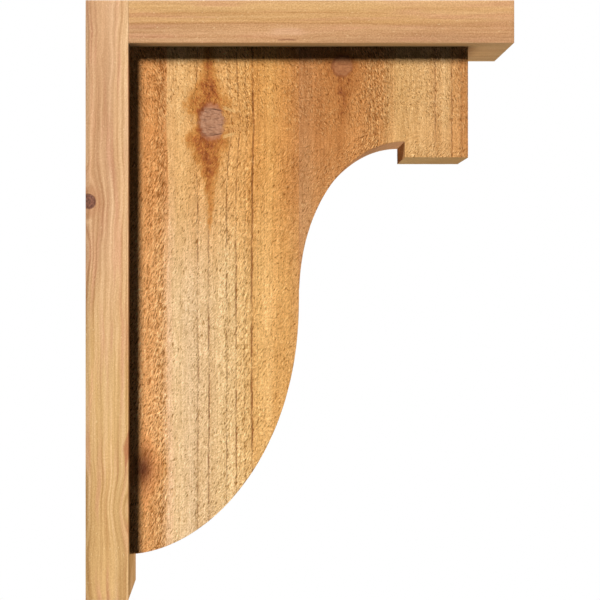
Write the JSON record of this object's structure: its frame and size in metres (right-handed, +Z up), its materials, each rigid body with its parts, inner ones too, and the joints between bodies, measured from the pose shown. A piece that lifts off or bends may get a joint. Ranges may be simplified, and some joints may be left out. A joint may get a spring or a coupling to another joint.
{
  "type": "wooden corbel bracket",
  "caption": "Built-up timber corbel bracket: upright wall board, level top board, and a thick rough-sawn panel between them with an S-curve, small step and square tab.",
  "frame": {"origin": "centre of the upright board's back face, the face that is fastened to the wall", "axes": "+X out from the wall along the level board, +Y across the bracket's width, +Z up along the upright board"},
  "size_m": [0.508, 0.1396, 0.7112],
  "materials": {
    "leg_cedar": "satin",
    "arm_cedar": "satin",
    "inner_plank_cedar": "matte",
    "outer_plank_cedar": "matte"
  },
  "bodies": {
    "root": {"wall_leg": "leg_cedar", "top_arm": "arm_cedar", "inner_plank": "inner_plank_cedar", "outer_plank": "outer_plank_cedar"}
  },
  "joints": []
}
